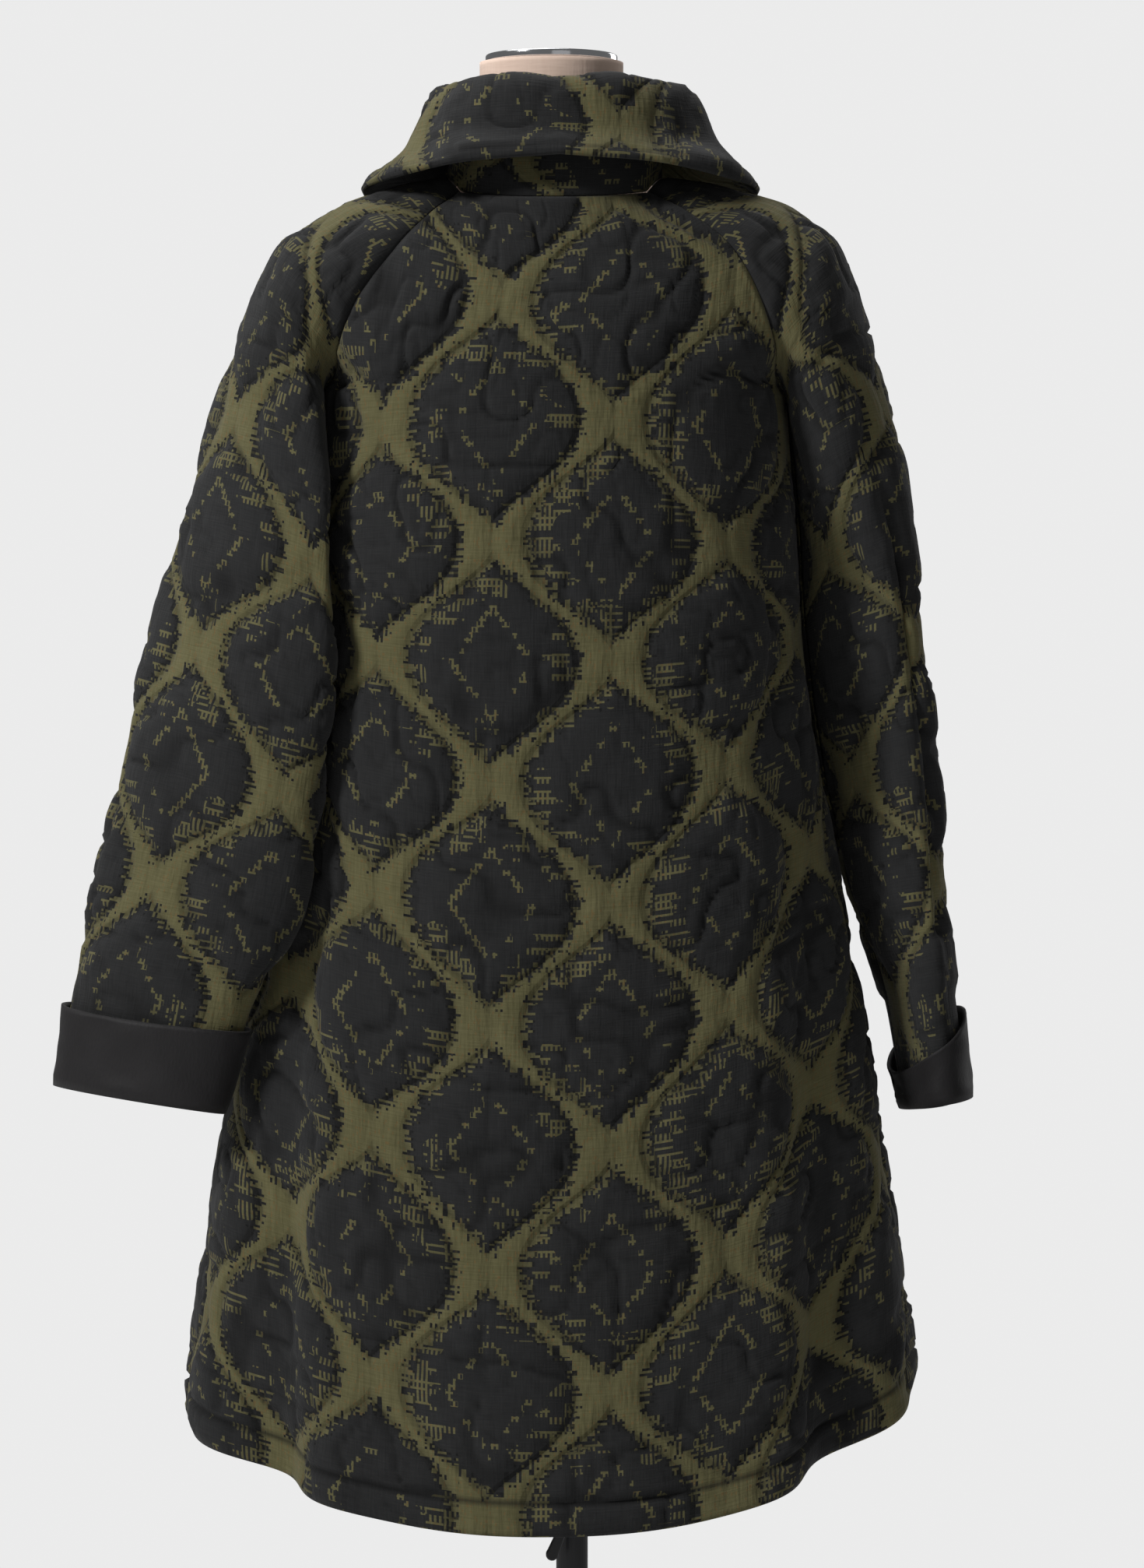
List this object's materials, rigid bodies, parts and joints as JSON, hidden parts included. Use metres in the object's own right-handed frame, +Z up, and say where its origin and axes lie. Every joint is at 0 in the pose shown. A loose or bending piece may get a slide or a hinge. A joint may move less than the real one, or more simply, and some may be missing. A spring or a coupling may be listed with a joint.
{
  "type": "long coat on dress form",
  "caption": "Long flared coat of quilted cloth with raglan sleeves, turned-back cuffs and a wide fold-over collar, worn by a limbless dress form on a pole stand.",
  "frame": {"origin": "on the pole's axis, at the floor under the base", "axes": "+Z up; the coat's back faces -Y and its front +Y; +X is the wearer's right"},
  "size_m": [0.7126, 0.4158, 1.5435],
  "materials": {
    "quilted_cloth": "matte quilted weave, charcoal with olive bands",
    "lining_cloth": "smooth black lining",
    "linen": "plain pink-beige linen",
    "chrome": "polished",
    "steel": "satin",
    "black_metal": "black satin powder coat"
  },
  "bodies": {
    "coat_form_and_stand": {"back": "quilted_cloth", "front_left": "quilted_cloth", "front_right": "quilted_cloth", "sleeve_left": "quilted_cloth", "sleeve_right": "quilted_cloth", "collar": "quilted_cloth", "cuff_left": "lining_cloth", "cuff_right": "lining_cloth", "dress_form": "linen", "neck_cap": "chrome", "pole_inner": "steel", "pole_outer": "black_metal", "clamp_collar": "black_metal", "base": "black_metal"},
    "lever": {"clamp_lever": "black_metal"}
  },
  "joints": [
    {"name": "clamp_lever_turn", "type": "hinge", "parent": "coat_form_and_stand", "child": "lever", "pos_m": [0, -0.0288, 0.4145], "axis": [0, 1, 0], "range_deg": [0, 90]}
  ]
}
